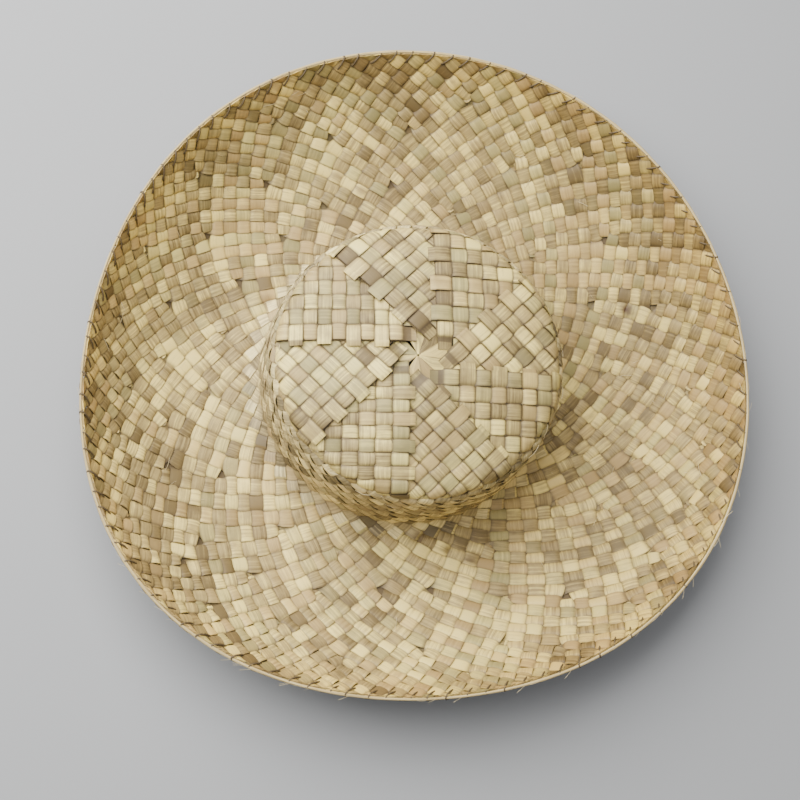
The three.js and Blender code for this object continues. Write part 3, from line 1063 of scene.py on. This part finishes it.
def cane_finish():
    """Pale split cane with a satin skin, long fibres and a few darker lengths."""
    finish = Finish("pale_cane", Roughness=0.42)
    strip = finish.node("ShaderNodeUVMap", {"uv_map": "strip"})
    fibres = finish.noise(strip, (1500, 25, 1), detail=3, roughness=0.6)
    lengths = finish.noise(strip, (0, 22, 1))
    base = finish.mix(fibres.between(0.3, 0.7), (0.36, 0.26, 0.10, 1), (0.64, 0.51, 0.25, 1))
    base = finish.mix(lengths.between(0.52, 0.75) * 0.6, base, (0.46, 0.33, 0.14, 1))
    finish.feed("Base Color", base)
    finish.bump(0.4, 0.2 * MM, fibres)
    return finish.material


def fibre_finish():
    """Loose pale fibres."""
    finish = Finish("pale_fibre", Roughness=0.55)
    grain = finish.noise(finish.place(), (60, 60, 60))
    finish.feed("Base Color", finish.mix(grain, (0.56, 0.43, 0.20, 1), (0.86, 0.76, 0.50, 1)))
    return finish.material


def thread_finish():
    """Dark brown waxed thread."""
    finish = Finish("brown_thread", Roughness=0.6)
    grain = finish.noise(finish.place(), (900, 900, 900))
    finish.feed("Base Color", finish.mix(grain, (0.055, 0.037, 0.017, 1), (0.15, 0.105, 0.05, 1)))
    finish.bump(0.5, 0.2 * MM, grain)
    return finish.material


def floor_and_light():
    """A plain pale floor, soft daylight from the upper left and a little fill."""
    mesh = bpy.data.meshes.new("floor")
    half = 25
    corners = [(-half, -half, 0), (half, -half, 0), (half, half, 0), (-half, half, 0)]
    mesh.from_pydata(corners, [], [(0, 1, 2, 3)])
    floor = bpy.data.objects.new("floor", mesh)
    bpy.context.scene.collection.objects.link(floor)
    finish = Finish("pale_floor", Roughness=0.9)
    grain = finish.noise(finish.place(), (3, 3, 3))
    finish.feed("Base Color", finish.mix(grain, (0.34, 0.35, 0.365, 1), (0.37, 0.38, 0.395, 1)))
    mesh.materials.append(finish.material)
    floor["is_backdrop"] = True
    world = bpy.data.worlds.new("soft_daylight")
    world.use_nodes = True
    sky = world.node_tree.nodes["Background"]
    sky.inputs["Color"].default_value = (0.96, 0.97, 1.0, 1)
    sky.inputs["Strength"].default_value = 0.26
    bpy.context.scene.world = world
    soft_light("window", (-0.56, 0.5, 0.95), 1.35, 47, (1.0, 0.98, 0.94))
    soft_light("overhead", (-0.1, 0.1, 1.9), 1.8, 14, (1.0, 0.98, 0.95))


def soft_light(name, place, size, watts, colour):
    light = bpy.data.lights.new(name, "AREA")
    light.size = size
    light.energy = watts
    light.color = colour
    lamp = bpy.data.objects.new(name, light)
    lamp.location = place
    lamp.rotation_euler = (-Vector(place)).to_track_quat("-Z", "Y").to_euler()
    bpy.context.scene.collection.objects.link(lamp)


# The photograph looks down on the hat from here, measured from the foot of the hat's axis
CAMERA_PLACE = Vector((-0.1363, -0.2104, 0.9333))
CAMERA_AIM = Vector((-0.0025, -0.0112, 0))
CAMERA_LENS = 63


def photograph_camera():
    """The photograph's view, with its upright along the hat's +Y."""
    data = bpy.data.cameras.new("photograph_view")
    data.lens = CAMERA_LENS
    camera = bpy.data.objects.new("photograph_view", data)
    back = (CAMERA_PLACE - CAMERA_AIM).normalized()
    right = Vector((0, 1, 0)).cross(back).normalized()
    turn = Matrix((right, back.cross(right), back)).transposed().to_4x4()
    axis = Vector((AXIS[0], AXIS[1], 0))
    camera.matrix_world = Matrix.Translation(CAMERA_PLACE + axis) @ turn
    bpy.context.scene.collection.objects.link(camera)
    bpy.context.scene.camera = camera


def write_size():
    boxes = {"cad": cad_box, "visual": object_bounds()}
    plain = {name: [list(corner) for corner in box] for name, box in boxes.items()}


photograph_camera()
floor_and_light()
brim_straw = straw_finish(
    "brim_straw",
    dark=(0.17, 0.12, 0.048, 1),
    middle=(0.40, 0.30, 0.12, 1),
    pale=(0.90, 0.72, 0.24, 1),
    warm=(0.58, 0.395, 0.15, 1),
    green=(0.41, 0.37, 0.14, 1),
    crease_shade_depth=0.82,
    golden=0.5,
)
# The side's straw is a little greyer than the brim's; it is paler as painted light, for the brightly lit
# left of the crown's wall, and its creases take less painted shade.
side_straw = straw_finish(
    "side_straw",
    dark=(0.14, 0.11, 0.06, 1),
    middle=(0.43, 0.34, 0.17, 1),
    pale=(0.98, 0.81, 0.38, 1),
    warm=(0.56, 0.41, 0.20, 1),
    green=(0.40, 0.36, 0.18, 1),
    crease_shade_depth=0.62,
)
weave_side_and_brim(brim_straw, side_straw)
# The crown's straw is paler than the brim's as painted light, for the crown's top that faces the lamp, and
# its creases take deeper painted shade.
crown_straw = straw_finish(
    "crown_straw",
    dark=(0.18, 0.13, 0.058, 1),
    middle=(0.43, 0.33, 0.135, 1),
    pale=(0.98, 0.80, 0.27, 1),
    warm=(0.60, 0.43, 0.17, 1),
    green=(0.43, 0.39, 0.16, 1),
    crease_shade_depth=1.25,
)
crown_top(crown_straw)
rim_cane(cane_finish())
rim_stitches(thread_finish())
stray_fibres(fibre_finish())
write_size()
